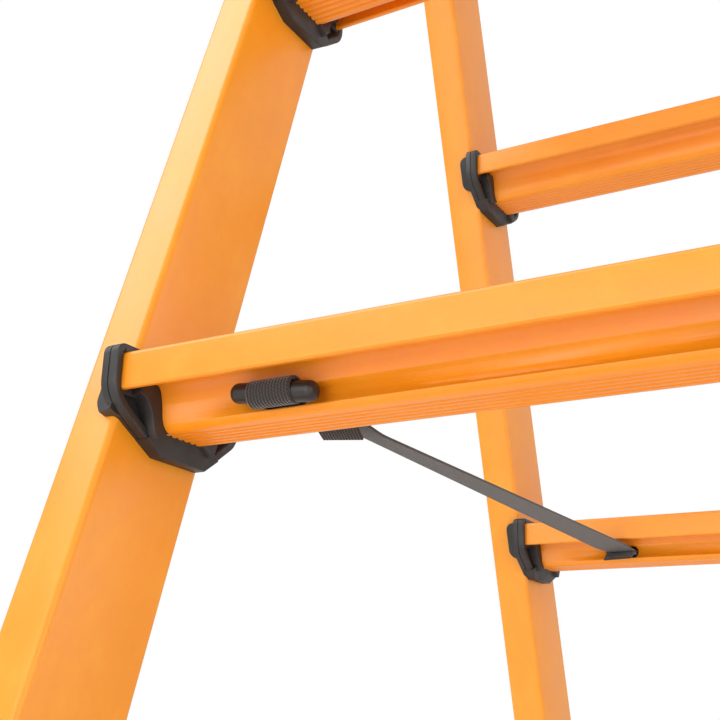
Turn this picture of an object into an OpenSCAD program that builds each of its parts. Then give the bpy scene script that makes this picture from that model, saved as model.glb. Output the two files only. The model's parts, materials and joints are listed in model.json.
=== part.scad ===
// Double-sided folding ladder with level treads, standing open. Millimetres.
// X runs along the rungs, Y from the near section to the far one, Z is up.
// The floor is z = 0 and the hinge axis lies over the middle of the footprint.

/* [Stance] */
// lean of each section from upright when the ladder stands open, degrees
lean = 16.5; // [12:0.5:20]
// distance between neighbouring rungs along the stiles
rung_pitch = 280; // [250:5:300]
// distance between the two sections at the strap rungs, rung centre to rung centre
strap_span = 440; // [400:5:480]
// distance from the lowest rung to the floor, along the stile
first_step = 280; // [240:5:320]
// clear width between the two stiles of a section
inner_width = 350; // [300:10:450]

/* [Stiles] */
// width of the box section, along the rungs
stile_w = 25; // [22:0.5:32]
// depth of the box section, front to back
stile_d = 57.5; // [50:0.5:70]
// wall of the box section
stile_wall = 3; // [2:0.1:4]
// edge rounding of the box section
stile_r = 3; // [1:0.5:5]
// how far the stile runs on above the hinge axis
stile_above = 46; // [42:1:48]

/* [Rungs] */
// depth of the tread, front to back
tread_d = 78; // [70:1:90]
// height of the lip at the front and the back of the tread
lip_h = 16; // [10:0.5:18]
// wall of the tread and its lips
tread_wall = 3.2; // [2.4:0.1:4]
// height of the whole rung section
rung_h = 29.5; // [26:0.5:34]
// half width of the hollow body where it meets the tread
body_half = 24.5; // [22:0.5:27]
// half width of the hollow body at its waist
waist_half = 17.2; // [15:0.2:20]
// half width of the flat underside
under_half = 12.4; // [9:0.2:15]
// wall of the hollow body
body_wall = 2.6; // [2:0.1:3.5]
// depth of the grooves in the underside
groove_h = 0.9; // [0.4:0.1:1.4]

/* [Rung brackets] */
// wall of the collar outside the tread and its lips
collar_wall = 3.2; // [2:0.2:4]
// length of the collar along the rung
collar_len = 6.5; // [5:0.5:10]
// length of the thick lower rim along the rung
rim_len = 9; // [7:0.5:12]
// thickness of the bracket floor between the stile and the rung end
floor_t = 2; // [1.5:0.1:3]
// width of the raised rim round the rung body
rim_w = 6; // [3:0.5:7]
// how much further the raised rim reaches along the rung than the thick lower rim
rim_step = 1.5; // [0.5:0.1:3]
// reach of the ears over the front and back of the stile
ear_w = 10.5; // [8:0.5:14]
// thickness of the ears
ear_t = 3; // [2:0.2:4]

/* [Restraint straps] */
// width of the webbing
strap_w = 20; // [15:1:25]
// thickness of the webbing
strap_t = 1.4; // [1:0.1:2]
// distance from the stile to the middle of the strap
strap_x = 72; // [60:1:110]
// diameter of the toggle peg
peg_d = 8.5; // [7:0.5:10]
// length of the toggle peg
peg_len = 40; // [34:1:50]

/* [Hinge] */
// radius of the round hinge lugs
lug_r = 13; // [11:0.5:15]
// thickness of the casting walls
cast_t = 4; // [3:0.5:5]
// thickness of the casting flanges on the sides of the stile
flange_t = 3; // [2:0.5:4]
// diameter of the hinge bolt
bolt_d = 10; // [8:1:12]

/* [Feet and caps] */
// height of the rubber sole
sole_h = 10; // [6:1:16]
// wall of the foot shoe
shoe_wall = 3; // [2:0.5:4]
// height of the foot shoe along the stile
shoe_h = 85; // [60:5:120]
// wall of the top cap
cap_wall = 2.5; // [2:0.5:3]

/* [Hidden] */
// free gap between the lugs and the other section's casting
lug_gap = 0.75;
// free gap beside the hinge tongue
tongue_gap = 0.5;
// radial clearance of the hinge bolt in its holes
bolt_clear = 0.05;
// half of the gap left between the two stop noses
stop_gap = 0.15;
// radial clearance of the rivets in their holes
rivet_clear = 0.05;
// gap between a plug and the inside of its rung
plug_gap = 0.3;
// gap between the webbing loop and its peg
loop_gap = 0.3;
// gap between the cap skirt and the hinge casting
cap_gap = 0.6;
// overlap that makes cuts run right through
over = 1;

rungs = 6;
strap_rung = 4;
pivot_out = stile_d / 2 + cast_t + lug_r + lug_gap;
// hinge axis to the strap rung and to the floor, both along the stile
strap_drop = (strap_span / 2 - pivot_out * cos(lean)) / sin(lean);
leg = strap_drop + (strap_rung - 1) * rung_pitch + first_step;
pivot_z = leg * cos(lean) - pivot_out * sin(lean);
foot_y = -(pivot_out * cos(lean) + leg * sin(lean));
// the tread lies this far above the rung's centre on the stile
tread_up = 13;

tread_r = 2;
shield_r = 6;
collar_back = 2;
back_w = 7;
// drop of the thick lower rim and of the raised rim below the lips
foot_drop = 2;
rim_drop = 0.5;
// the ears from the rung's centre up to their top edge and down to their lower edge
ear_up = 9;
ear_up_inside = 16;
ear_down = 14;
ear_slope = 5;
ear_r = 4;
ridge_x = 1.6;
ridge_w = 0.8;
ridge_t = 0.7;
curve_steps = 6;
arc_steps = 4;

rivet_r = 3;
rivet_head_r = 5.5;
rivet_head_h = 2.2;
rivet_y = 9;
rivet_z = -14;
plug_len = 26;

peg_y = waist_half + peg_d / 2 + loop_gap + strap_t + 0.6;
peg_z = -22;
slot_h = 8;
slot_w = strap_w + 3;

lug_x = 0.4;
lug_w = 7.2;
cast_low = 29;
cast_high = 40;
// reach of the casting from the stile's middle line towards its outer face
cast_back = 14;
// the casting's rivets: [across the stile, along it] from its middle line and the hinge axis
cast_rivet_at = [[-4, -18], [10, 4], [-4, 26]];
nose_t = 5;
nose_z = 31;
nose_h = 9;
washer_r = 10;
washer_t = 1.5;
head_r = 8.5;
head_t = 6;
shoe_floor = 5;
sole_side = 5;
sole_end = 5.5;
sole_r = 4;
// grooves across the sole
tyre_w = 3;
tyre_h = 2;

glass_fibre = [0.97, 0.64, 0.15];
nylon = [0.12, 0.11, 0.1];
webbing = [0.1, 0.1, 0.09];
rubber_grey = [0.16, 0.16, 0.17];
cast_metal = [0.7, 0.71, 0.72];
steel = [0.6, 0.61, 0.63];

// Positions ------------------------------------------------------------------

// hinge axis to rung k along the stile; rung 1 is the lowest
function drop(k) = strap_drop + (strap_rung - k) * rung_pitch;
function rung_y(k) = -(pivot_out * cos(lean) + drop(k) * sin(lean));
function tread_z(k) = pivot_z + pivot_out * sin(lean) - drop(k) * cos(lean) + tread_up;

// one side of one section: x = 0 is the stile's inner face, +x runs along the rung
module place(sec, side) {
    mirror([0, sec, 0])
        mirror([side, 0, 0])
            translate([-inner_width / 2, 0, 0])
                children();
}

// the leaning frame of a section: y across the stile, z along it, hinge axis at 0
module on_pivot() {
    translate([0, 0, pivot_z])
        rotate([-lean, 0, 0])
            children();
}

// the level frame of rung k, its tread at z = 0
module at_rung(k) {
    translate([0, rung_y(k), tread_z(k)])
        children();
}

// a flat outline drawn as (y, z), standing from x0 to x1
module along_x(x0, x1) {
    translate([x0, 0, 0])
        rotate([90, 0, 90])
            linear_extrude(height = x1 - x0)
                children();
}

module rod_x(x0, x1, r, sides = 48) {
    translate([x0, 0, 0])
        rotate([0, 90, 0])
            cylinder(h = x1 - x0, r = r, $fn = sides);
}

// Outlines -------------------------------------------------------------------

function mirrored(side) = [for (i = [len(side) - 1 : -1 : 0]) [-side[i][0], side[i][1]]];
function both(side) = concat(side, mirrored(side));

function curve(a, b, c, d, t) =
    pow(1 - t, 3) * a + 3 * pow(1 - t, 2) * t * b + 3 * (1 - t) * t * t * c + t * t * t * d;

// corner of radius r at (y, z), from its top round to its side
function corner(y, z, r) =
    [for (i = [0 : arc_steps]) [y - r + r * sin(90 * i / arc_steps), z - r + r * cos(90 * i / arc_steps)]];

// the side of the rung body, grown by g: it sweeps in to its waist and rounds into the underside
function body_side(g) = concat(
    [for (i = [0 : curve_steps])
        curve([body_half + g, -8.5 - g / 4], [waist_half + 1.4 + g, -10.5 - g / 4],
              [waist_half + 1.2 + g, -14], [waist_half + g, -20], i / curve_steps)],
    [for (i = [1 : curve_steps])
        curve([waist_half + g, -20], [waist_half - 0.8 + g, -24.5],
              [waist_half - 1.3 + g, -rung_h - g], [under_half + g / 2, -rung_h - g], i / curve_steps)]);

function tread_side() = concat([[0, 0]], corner(tread_d / 2, 0, tread_r),
    [[tread_d / 2, -lip_h], [tread_d / 2 - tread_wall, -lip_h],
     [tread_d / 2 - tread_wall, -tread_wall], [0, -tread_wall]]);

// the outline of the bracket, grown by g; its foot lies nearer the inside of the ladder
function shield_top(g) = concat([[0, collar_wall + g]],
    corner(tread_d / 2 + collar_wall + g, collar_wall + g, shield_r + g));
function shield_out(g) = [[tread_d / 2 + collar_wall + g, -lip_h - 2],
    [tread_d / 2 - 6.5 + g * 0.8, -lip_h - 10.6 - g * 0.5],
    [under_half - 1.9 + g * 0.5, -rung_h - 8.8 - g]];
function shield_in(g) = [[tread_d / 2 + collar_wall + g, -lip_h - 5.5],
    [under_half + 7.1 + g * 0.5, -rung_h - 9.1 - g]];
function shield(g) = concat(shield_top(g), shield_in(g), mirrored(shield_out(g)), mirrored(shield_top(g)));

module body_2d(g, top) {
    polygon(both(concat([[body_half + g, top]], body_side(g))));
}

module rung_solid_2d() {
    polygon(both(tread_side()));
    body_2d(0, -tread_wall / 2);
}

module rung_2d() {
    difference() {
        rung_solid_2d();
        body_2d(-body_wall, -tread_wall);
        for (i = [-2 : 2])
            translate([i * under_half / 3, -rung_h])
                polygon([[-groove_h, -0.01], [groove_h, -0.01], [0, groove_h]]);
    }
}

module rounded_2d(x0, x1, y0, y1, r) {
    translate([x0 + r, y0])
        square([x1 - x0 - 2 * r, y1 - y0]);
    translate([x0, y0 + r])
        square([x1 - x0, y1 - y0 - 2 * r]);
    for (x = [x0 + r, x1 - r])
        for (y = [y0 + r, y1 - r])
            translate([x, y])
                circle(r = r, $fn = 32);
}

// outline of the stile grown by g, in the leaning frame
module stile_2d(g) {
    translate([0, -pivot_out])
        rounded_2d(-stile_w - g, g, -stile_d / 2 - g, stile_d / 2 + g, stile_r + g / 2);
}

// Stiles ---------------------------------------------------------------------

// the solid stile from the level cut at z_cut up to its top end
module stile_bar(z_cut) {
    difference() {
        on_pivot()
            translate([0, 0, -leg - stile_d])
                linear_extrude(height = leg + stile_d + stile_above)
                    stile_2d(0);
        below(z_cut);
    }
}

module below(z_cut) {
    translate([-2 * stile_w - 20, foot_y - 200, z_cut - 200])
        cube([4 * stile_w, 400, 200]);
}

module rivet_holes(x0, x1, r) {
    for (y = [-rivet_y, rivet_y])
        translate([0, y, rivet_z])
            rod_x(x0, x1, r, 24);
}

module stile(sec, side) {
    color(glass_fibre)
        place(sec, side)
            difference() {
                stile_bar(sole_h + shoe_floor);
                on_pivot()
                    translate([0, 0, -leg - stile_d - over])
                        linear_extrude(height = leg + stile_d + stile_above + 2 * over)
                            stile_2d(-stile_wall);
                for (k = [1 : rungs])
                    at_rung(k)
                        rivet_holes(-stile_w - over, over, rivet_r + rivet_clear);
                on_pivot()
                    cast_rivets(-stile_w - over, over, rivet_r + rivet_clear);
            }
}

// Rungs ----------------------------------------------------------------------

module rung(sec, k) {
    color(glass_fibre)
        mirror([0, sec, 0])
            at_rung(k)
                difference() {
                    along_x(-inner_width / 2 + floor_t, inner_width / 2 - floor_t)
                        rung_2d();
                    if (k == strap_rung)
                        for (s = [-1, 1])
                            translate([s * (inner_width / 2 - strap_x), 0, peg_z])
                                cube([slot_w, 2 * body_half + 2, slot_h], center = true);
                }
}

// a plate on the face of the stile, with a sloping top and a round lower corner; the one
// that faces the other section is as tall as the collar
module bracket_ear(end) {
    top = end > 0 ? ear_up_inside : ear_up;
    rotate([-lean, 0, 0])
        translate([0, end * (stile_d / 2 + ear_t / 2), end * stile_d / 2 * tan(lean)])
            rotate([90, 0, 0])
                translate([0, 0, -ear_t / 2])
                    linear_extrude(height = ear_t)
                        union() {
                            polygon([[0, top], [-ear_w, top - ear_slope], [-ear_w, ear_r - ear_down],
                                [-ear_w + ear_r, -ear_down], [0, -ear_down]]);
                            translate([-ear_w + ear_r, ear_r - ear_down])
                                circle(r = ear_r, $fn = 32);
                        }
}

module bracket() {
    difference() {
        union() {
            along_x(0, collar_len)
                polygon(shield(0));
            along_x(0, rim_len)
                intersection() {
                    polygon(shield(0));
                    translate([-tread_d, -2 * rung_h])
                        square([2 * tread_d, 2 * rung_h - lip_h - foot_drop]);
                }
            along_x(0, rim_len + rim_step)
                intersection() {
                    body_2d(rim_w, -tread_wall);
                    translate([-tread_d, -2 * rung_h])
                        square([2 * tread_d, 2 * rung_h - lip_h - rim_drop]);
                }
            translate([0, 0, -tread_up])
                for (end = [-1, 1])
                    bracket_ear(end);
            collar_backs();
        }
        along_x(floor_t, rim_len + rim_step + over)
            rung_solid_2d();
        along_x(floor_t, rim_len + rim_step + over)
            pocket_2d();
        along_x(ridge_x, ridge_x + ridge_w)
            difference() {
                polygon(shield(over));
                polygon(shield(-ridge_t));
            }
        rivet_holes(-over, floor_t + over, rivet_r + rivet_clear);
    }
}

// the back of the collar, where it stands out past the front and back of the stile
module collar_backs() {
    side = tread_d / 2 + collar_wall;
    for (y = [-side, side - back_w])
        translate([-collar_back, y, -lip_h - 2])
            cube([collar_back + 1, back_w, lip_h]);
}

// the open space between the collar and the raised rim
module pocket_2d() {
    difference() {
        polygon(shield(-collar_wall));
        body_2d(rim_w, 2 * tread_wall);
        translate([-tread_d, -lip_h - 1.5])
            square([2 * tread_d, 2 * rung_h]);
        translate([-tread_d, -3 * rung_h - 0.6])
            square([2 * tread_d, 2 * rung_h]);
    }
}

module brackets(sec, side) {
    color(nylon)
        place(sec, side)
            for (k = [1 : rungs])
                at_rung(k)
                    bracket();
}

module rung_plugs(sec) {
    color(nylon)
        for (side = [0, 1])
            place(sec, side)
                for (k = [1 : rungs])
                    at_rung(k)
                        difference() {
                            along_x(floor_t, floor_t + plug_len)
                                body_2d(-body_wall - plug_gap, -tread_wall - plug_gap);
                            rivet_holes(-over, plug_len + 2 * over + floor_t, rivet_r + rivet_clear);
                        }
}

module rivet(x_head, x_end) {
    rod_x(x_head, x_end, rivet_r, 24);
    translate([x_head - rivet_head_h, 0, 0])
        rotate([0, 90, 0])
            cylinder(h = rivet_head_h, r1 = rivet_head_r - rivet_head_h, r2 = rivet_head_r, $fn = 32);
}

module rung_rivets(sec) {
    color(steel)
        for (side = [0, 1])
            place(sec, side)
                for (k = [1 : rungs])
                    at_rung(k)
                        for (y = [-rivet_y, rivet_y])
                            translate([0, y, rivet_z])
                                rivet(-stile_w, floor_t + plug_len);
}

// Feet and caps --------------------------------------------------------------

module shoe(sec, side) {
    color(nylon)
        place(sec, side)
            difference() {
                on_pivot()
                    translate([0, 0, -leg - stile_d])
                        linear_extrude(height = stile_d + shoe_h)
                            stile_2d(shoe_wall);
                below(sole_h);
                stile_bar(sole_h + shoe_floor);
            }
}

module sole(sec, side) {
    color(rubber_grey)
        place(sec, side)
            translate([0, foot_y + sole_h * tan(lean), 0])
                difference() {
                    linear_extrude(height = sole_h)
                        rounded_2d(-stile_w - sole_side, sole_side,
                                   -stile_d / 2 - sole_end - 2, stile_d / 2 + sole_end + 2, sole_r);
                    for (i = [-3 : 3])
                        translate([-stile_w / 2, i * stile_d / 6, 0])
                            cube([2 * stile_w + 4 * sole_side, tyre_w, 2 * tyre_h], center = true);
                }
}

module cap(sec, side) {
    color(nylon)
        place(sec, side)
            difference() {
                on_pivot()
                    translate([0, 0, cast_high + cap_gap])
                        linear_extrude(height = stile_above + cap_wall - cast_high - cap_gap)
                            stile_2d(cap_wall);
                stile_bar(sole_h);
            }
}

// Hinge ----------------------------------------------------------------------

// bores or rivets of the casting, on the stile's middle line
module cast_rivets(x0, x1, r) {
    for (at = cast_rivet_at)
        translate([0, -pivot_out + at[0], at[1]])
            rod_x(x0, x1, r, 24);
}

module cast_body() {
    difference() {
        translate([-stile_w - flange_t, -pivot_out - cast_back, -cast_low])
            cube([stile_w + 2 * flange_t, cast_back + stile_d / 2 + cast_t, cast_low + cast_high]);
        translate([0, 0, -cast_low - over])
            linear_extrude(height = cast_low + cast_high + 2 * over)
                stile_2d(0);
        cast_rivets(-stile_w - flange_t - over, flange_t + over, rivet_r + rivet_clear);
    }
}

module lug(x0, x1) {
    rod_x(x0, x1, lug_r, 64);
    translate([x0, -lug_r - lug_gap - cast_t / 2, -lug_r])
        cube([x1 - x0, lug_r + lug_gap + cast_t / 2, 2 * lug_r]);
}

// the nose meets the other section's nose when the ladder stands open
module stop_nose() {
    translate([-stile_w + lug_x, -nose_t, nose_z])
        cube([stile_w - 2 * lug_x, nose_t - stop_gap, nose_h]);
}

module hinge(sec, side) {
    color(cast_metal)
        place(sec, side)
            difference() {
                union() {
                    on_pivot()
                        cast_body();
                    on_pivot()
                        if (sec == 0) {
                            lug(-stile_w + lug_x, -stile_w + lug_x + lug_w);
                            lug(-lug_x - lug_w, -lug_x);
                        } else {
                            lug(-stile_w + lug_x + lug_w + tongue_gap, -lug_x - lug_w - tongue_gap);
                        }
                    translate([0, 0, pivot_z])
                        stop_nose();
                }
                translate([0, 0, pivot_z])
                    rod_x(-stile_w - over, over, bolt_d / 2 + bolt_clear, 64);
            }
}

module hinge_bolts() {
    color(steel)
        for (side = [0, 1])
            place(0, side)
                translate([0, 0, pivot_z]) {
                    rod_x(-stile_w + lug_x - washer_t, head_t + washer_t, bolt_d / 2, 64);
                    rod_x(-stile_w + lug_x - washer_t - head_t, -stile_w + lug_x - washer_t, head_r, 6);
                }
}

module hinge_washers() {
    color(steel)
        for (side = [0, 1])
            place(0, side)
                translate([0, 0, pivot_z])
                    for (x = [-stile_w + lug_x - washer_t, -lug_x])
                        difference() {
                            rod_x(x, x + washer_t, washer_r, 48);
                            rod_x(x - over, x + washer_t + over, bolt_d / 2 + bolt_clear, 64);
                        }
}

module hinge_nuts() {
    color(steel)
        for (side = [0, 1])
            place(0, side)
                translate([0, 0, pivot_z])
                    difference() {
                        rod_x(washer_t - lug_x, washer_t - lug_x + head_t, head_r, 6);
                        rod_x(-over, head_t + 2 * washer_t + over, bolt_d / 2 + bolt_clear, 64);
                    }
}

module hinge_rivets(sec) {
    color(steel)
        for (side = [0, 1])
            place(sec, side)
                on_pivot() {
                    cast_rivets(-stile_w - flange_t, flange_t, rivet_r);
                    cast_rivets(-stile_w - flange_t - rivet_head_h, -stile_w - flange_t, rivet_head_r);
                    cast_rivets(flange_t, flange_t + rivet_head_h, rivet_head_r);
                }
}

// Restraint straps -----------------------------------------------------------

// the loop of webbing round the peg of one section
module strap_loop() {
    at_rung(strap_rung)
        translate([strap_x, -peg_y, peg_z])
            difference() {
                rod_x(-strap_w / 2, strap_w / 2, peg_d / 2 + loop_gap + strap_t, 48);
                rod_x(-strap_w, strap_w, peg_d / 2 + loop_gap, 48);
            }
}

module strap(side) {
    run = -rung_y(strap_rung) + peg_y - peg_d / 2 - loop_gap;
    color(webbing) {
        for (sec = [0, 1])
            place(sec, side)
                strap_loop();
        place(0, side)
            translate([strap_x - strap_w / 2, -run, tread_z(strap_rung) + peg_z - strap_t / 2])
                cube([strap_w, 2 * run, strap_t]);
    }
}

module peg(sec, side) {
    color(nylon)
        place(sec, side)
            at_rung(strap_rung)
                translate([strap_x, -peg_y, peg_z]) {
                    rod_x(-peg_len / 2 + peg_d / 2, peg_len / 2 - peg_d / 2, peg_d / 2, 48);
                    for (x = [-1, 1])
                        translate([x * (peg_len - peg_d) / 2, 0, 0])
                            sphere(d = peg_d, $fn = 48);
                }
}

// Nodes ----------------------------------------------------------------------

stile(0, 0);  // near_left_stile
stile(0, 1);  // near_right_stile
stile(1, 0);  // far_left_stile
stile(1, 1);  // far_right_stile
rung(0, 1);  // near_rung_1
rung(0, 2);  // near_rung_2
rung(0, 3);  // near_rung_3
rung(0, 4);  // near_rung_4
rung(0, 5);  // near_rung_5
rung(0, 6);  // near_rung_6
rung(1, 1);  // far_rung_1
rung(1, 2);  // far_rung_2
rung(1, 3);  // far_rung_3
rung(1, 4);  // far_rung_4
rung(1, 5);  // far_rung_5
rung(1, 6);  // far_rung_6
brackets(0, 0);  // near_left_brackets
brackets(0, 1);  // near_right_brackets
brackets(1, 0);  // far_left_brackets
brackets(1, 1);  // far_right_brackets
rung_plugs(0);  // near_rung_plugs
rung_plugs(1);  // far_rung_plugs
rung_rivets(0);  // near_rung_rivets
rung_rivets(1);  // far_rung_rivets
cap(0, 0);  // near_left_cap
cap(0, 1);  // near_right_cap
cap(1, 0);  // far_left_cap
cap(1, 1);  // far_right_cap
shoe(0, 0);  // near_left_shoe
shoe(0, 1);  // near_right_shoe
shoe(1, 0);  // far_left_shoe
shoe(1, 1);  // far_right_shoe
sole(0, 0);  // near_left_sole
sole(0, 1);  // near_right_sole
sole(1, 0);  // far_left_sole
sole(1, 1);  // far_right_sole
hinge(0, 0);  // near_left_hinge
hinge(0, 1);  // near_right_hinge
hinge(1, 0);  // far_left_hinge
hinge(1, 1);  // far_right_hinge
hinge_bolts();
hinge_washers();
hinge_nuts();
hinge_rivets(0);  // near_hinge_rivets
hinge_rivets(1);  // far_hinge_rivets
strap(0);  // left_strap
strap(1);  // right_strap
peg(0, 0);  // near_left_peg
peg(0, 1);  // near_right_peg
peg(1, 0);  // far_left_peg
peg(1, 1);  // far_right_peg
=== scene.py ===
"""Visual model of a double-sided folding ladder, built round its measured frame.

Every class below is one kind of piece on the ladder. Shapes are worked out in millimetres in
a local frame and placed in the ladder's own frame, in metres, when a piece is finished.
"""
import json
import logging
import math
from dataclasses import dataclass
from enum import Enum
from typing import Callable, Optional, Sequence

import bmesh
import bpy
from bmesh.types import BMEdge, BMesh, BMFace, BMVert
from mathutils import Matrix, Vector

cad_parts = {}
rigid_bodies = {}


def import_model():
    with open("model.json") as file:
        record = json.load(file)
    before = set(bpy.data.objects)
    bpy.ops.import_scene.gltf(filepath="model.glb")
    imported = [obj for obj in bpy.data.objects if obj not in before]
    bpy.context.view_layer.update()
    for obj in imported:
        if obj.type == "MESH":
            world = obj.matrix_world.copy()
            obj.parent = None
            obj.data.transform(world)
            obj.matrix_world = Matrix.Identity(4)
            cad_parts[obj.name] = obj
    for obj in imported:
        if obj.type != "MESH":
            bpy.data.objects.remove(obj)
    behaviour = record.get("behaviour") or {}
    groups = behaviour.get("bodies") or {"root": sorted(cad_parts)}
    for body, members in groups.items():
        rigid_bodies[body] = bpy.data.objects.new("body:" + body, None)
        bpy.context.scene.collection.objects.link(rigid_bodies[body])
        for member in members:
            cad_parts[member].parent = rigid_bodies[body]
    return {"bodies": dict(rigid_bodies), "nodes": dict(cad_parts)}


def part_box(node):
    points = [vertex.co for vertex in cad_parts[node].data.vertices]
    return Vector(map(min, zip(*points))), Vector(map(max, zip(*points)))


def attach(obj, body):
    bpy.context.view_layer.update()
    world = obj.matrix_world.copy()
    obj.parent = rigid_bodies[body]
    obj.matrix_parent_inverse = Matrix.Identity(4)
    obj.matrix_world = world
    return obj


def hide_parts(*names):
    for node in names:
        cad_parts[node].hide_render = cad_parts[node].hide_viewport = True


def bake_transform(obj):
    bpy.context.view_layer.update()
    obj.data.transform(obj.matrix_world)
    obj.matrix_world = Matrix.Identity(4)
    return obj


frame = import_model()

log = logging.getLogger("ladder")

MM = 0.001
Outline = Sequence[tuple[float, float]]
Rgba = tuple[float, float, float, float]


class Section(Enum):
    """One of the two leaning halves of the ladder."""

    NEAR = "near"
    FAR = "far"

    @property
    def body(self) -> str:
        """The name of the rigid body that this half is."""
        return f"{self.value}_section"


class Side(Enum):
    """Left or right, as a person facing the near section sees it."""

    LEFT = "left"
    RIGHT = "right"


class FibreAxis(Enum):
    """The local axis that a piece's fibres run along."""

    X = 0
    Z = 2


# Measures ---------------------------------------------------------------------------------


@dataclass(frozen=True)
class LadderFrame:
    """Where the ladder's parts stand, in millimetres, read from the measured frame.

    A side's local frame has x = 0 on the stile's inner face and +x along the rung.

    Attributes:
        lean: lean of a section from upright, in degrees.
        inner_width: distance between a section's stiles.
        stile_width: width of a stile, across the ladder.
        stile_depth: depth of a stile, front to back.
        pivot_out: distance from the hinge axis to the middle of a stile.
        tread_up: height of a tread above the point that its bracket's ears are set out from.
        rungs: rungs in a section.
        strap_rung: the rung that the straps go through, counted from the floor.
    """

    lean: float = 16.5
    inner_width: float = 350.0
    stile_width: float = 25.0
    stile_depth: float = 57.5
    pivot_out: float = 46.5
    tread_up: float = 13.0
    rungs: int = 6
    strap_rung: int = 4

    @property
    def angle(self) -> float:
        """The lean of a section from upright, in radians."""
        return math.radians(self.lean)

    @property
    def pivot_height(self) -> float:
        """Height of the hinge axis above the floor."""
        low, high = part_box("hinge_washers")
        return (low[2] + high[2]) / 2 / MM

    @property
    def leg(self) -> float:
        """Distance along a stile from the hinge axis to the floor."""
        return (self.pivot_height + self.pivot_out * math.sin(self.angle)) / math.cos(self.angle)

    def tread(self, rung: int) -> tuple[float, float]:
        """The middle of a near tread.

        Args:
            rung: number of the rung, 1 at the bottom.

        Returns:
            Its y and z.
        """
        low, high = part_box(f"near_rung_{rung}")
        return (low[1] + high[1]) / 2 / MM, high[2] / MM

    def side(self, section: Section, side: Side) -> Matrix:
        """The frame of one side of one section.

        Args:
            section: near or far.
            side: left or right.

        Returns:
            Local millimetres to ladder millimetres; it mirrors for the far and right pieces.
        """
        mirror_y = Matrix.Scale(-1 if section is Section.FAR else 1, 4, (0, 1, 0))
        mirror_x = Matrix.Scale(-1 if side is Side.RIGHT else 1, 4, (1, 0, 0))
        return mirror_y @ mirror_x @ Matrix.Translation((-self.inner_width / 2, 0, 0))

    def leaning(self, section: Section, side: Side) -> Matrix:
        """The frame that leans with a stile: z along it, the hinge axis at the origin.

        Args:
            section: near or far.
            side: left or right.

        Returns:
            Local millimetres to ladder millimetres.
        """
        lift = Matrix.Translation((0, 0, self.pivot_height))
        return self.side(section, side) @ lift @ Matrix.Rotation(-self.angle, 4, "X")

    def level(self, section: Section, side: Side, rung: int) -> Matrix:
        """The level frame of a rung end, with the tread at z = 0.

        Args:
            section: near or far.
            side: left or right.
            rung: number of the rung.

        Returns:
            Local millimetres to ladder millimetres.
        """
        y, z = self.tread(rung)
        return self.side(section, side) @ Matrix.Translation((0, y, z))


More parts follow.
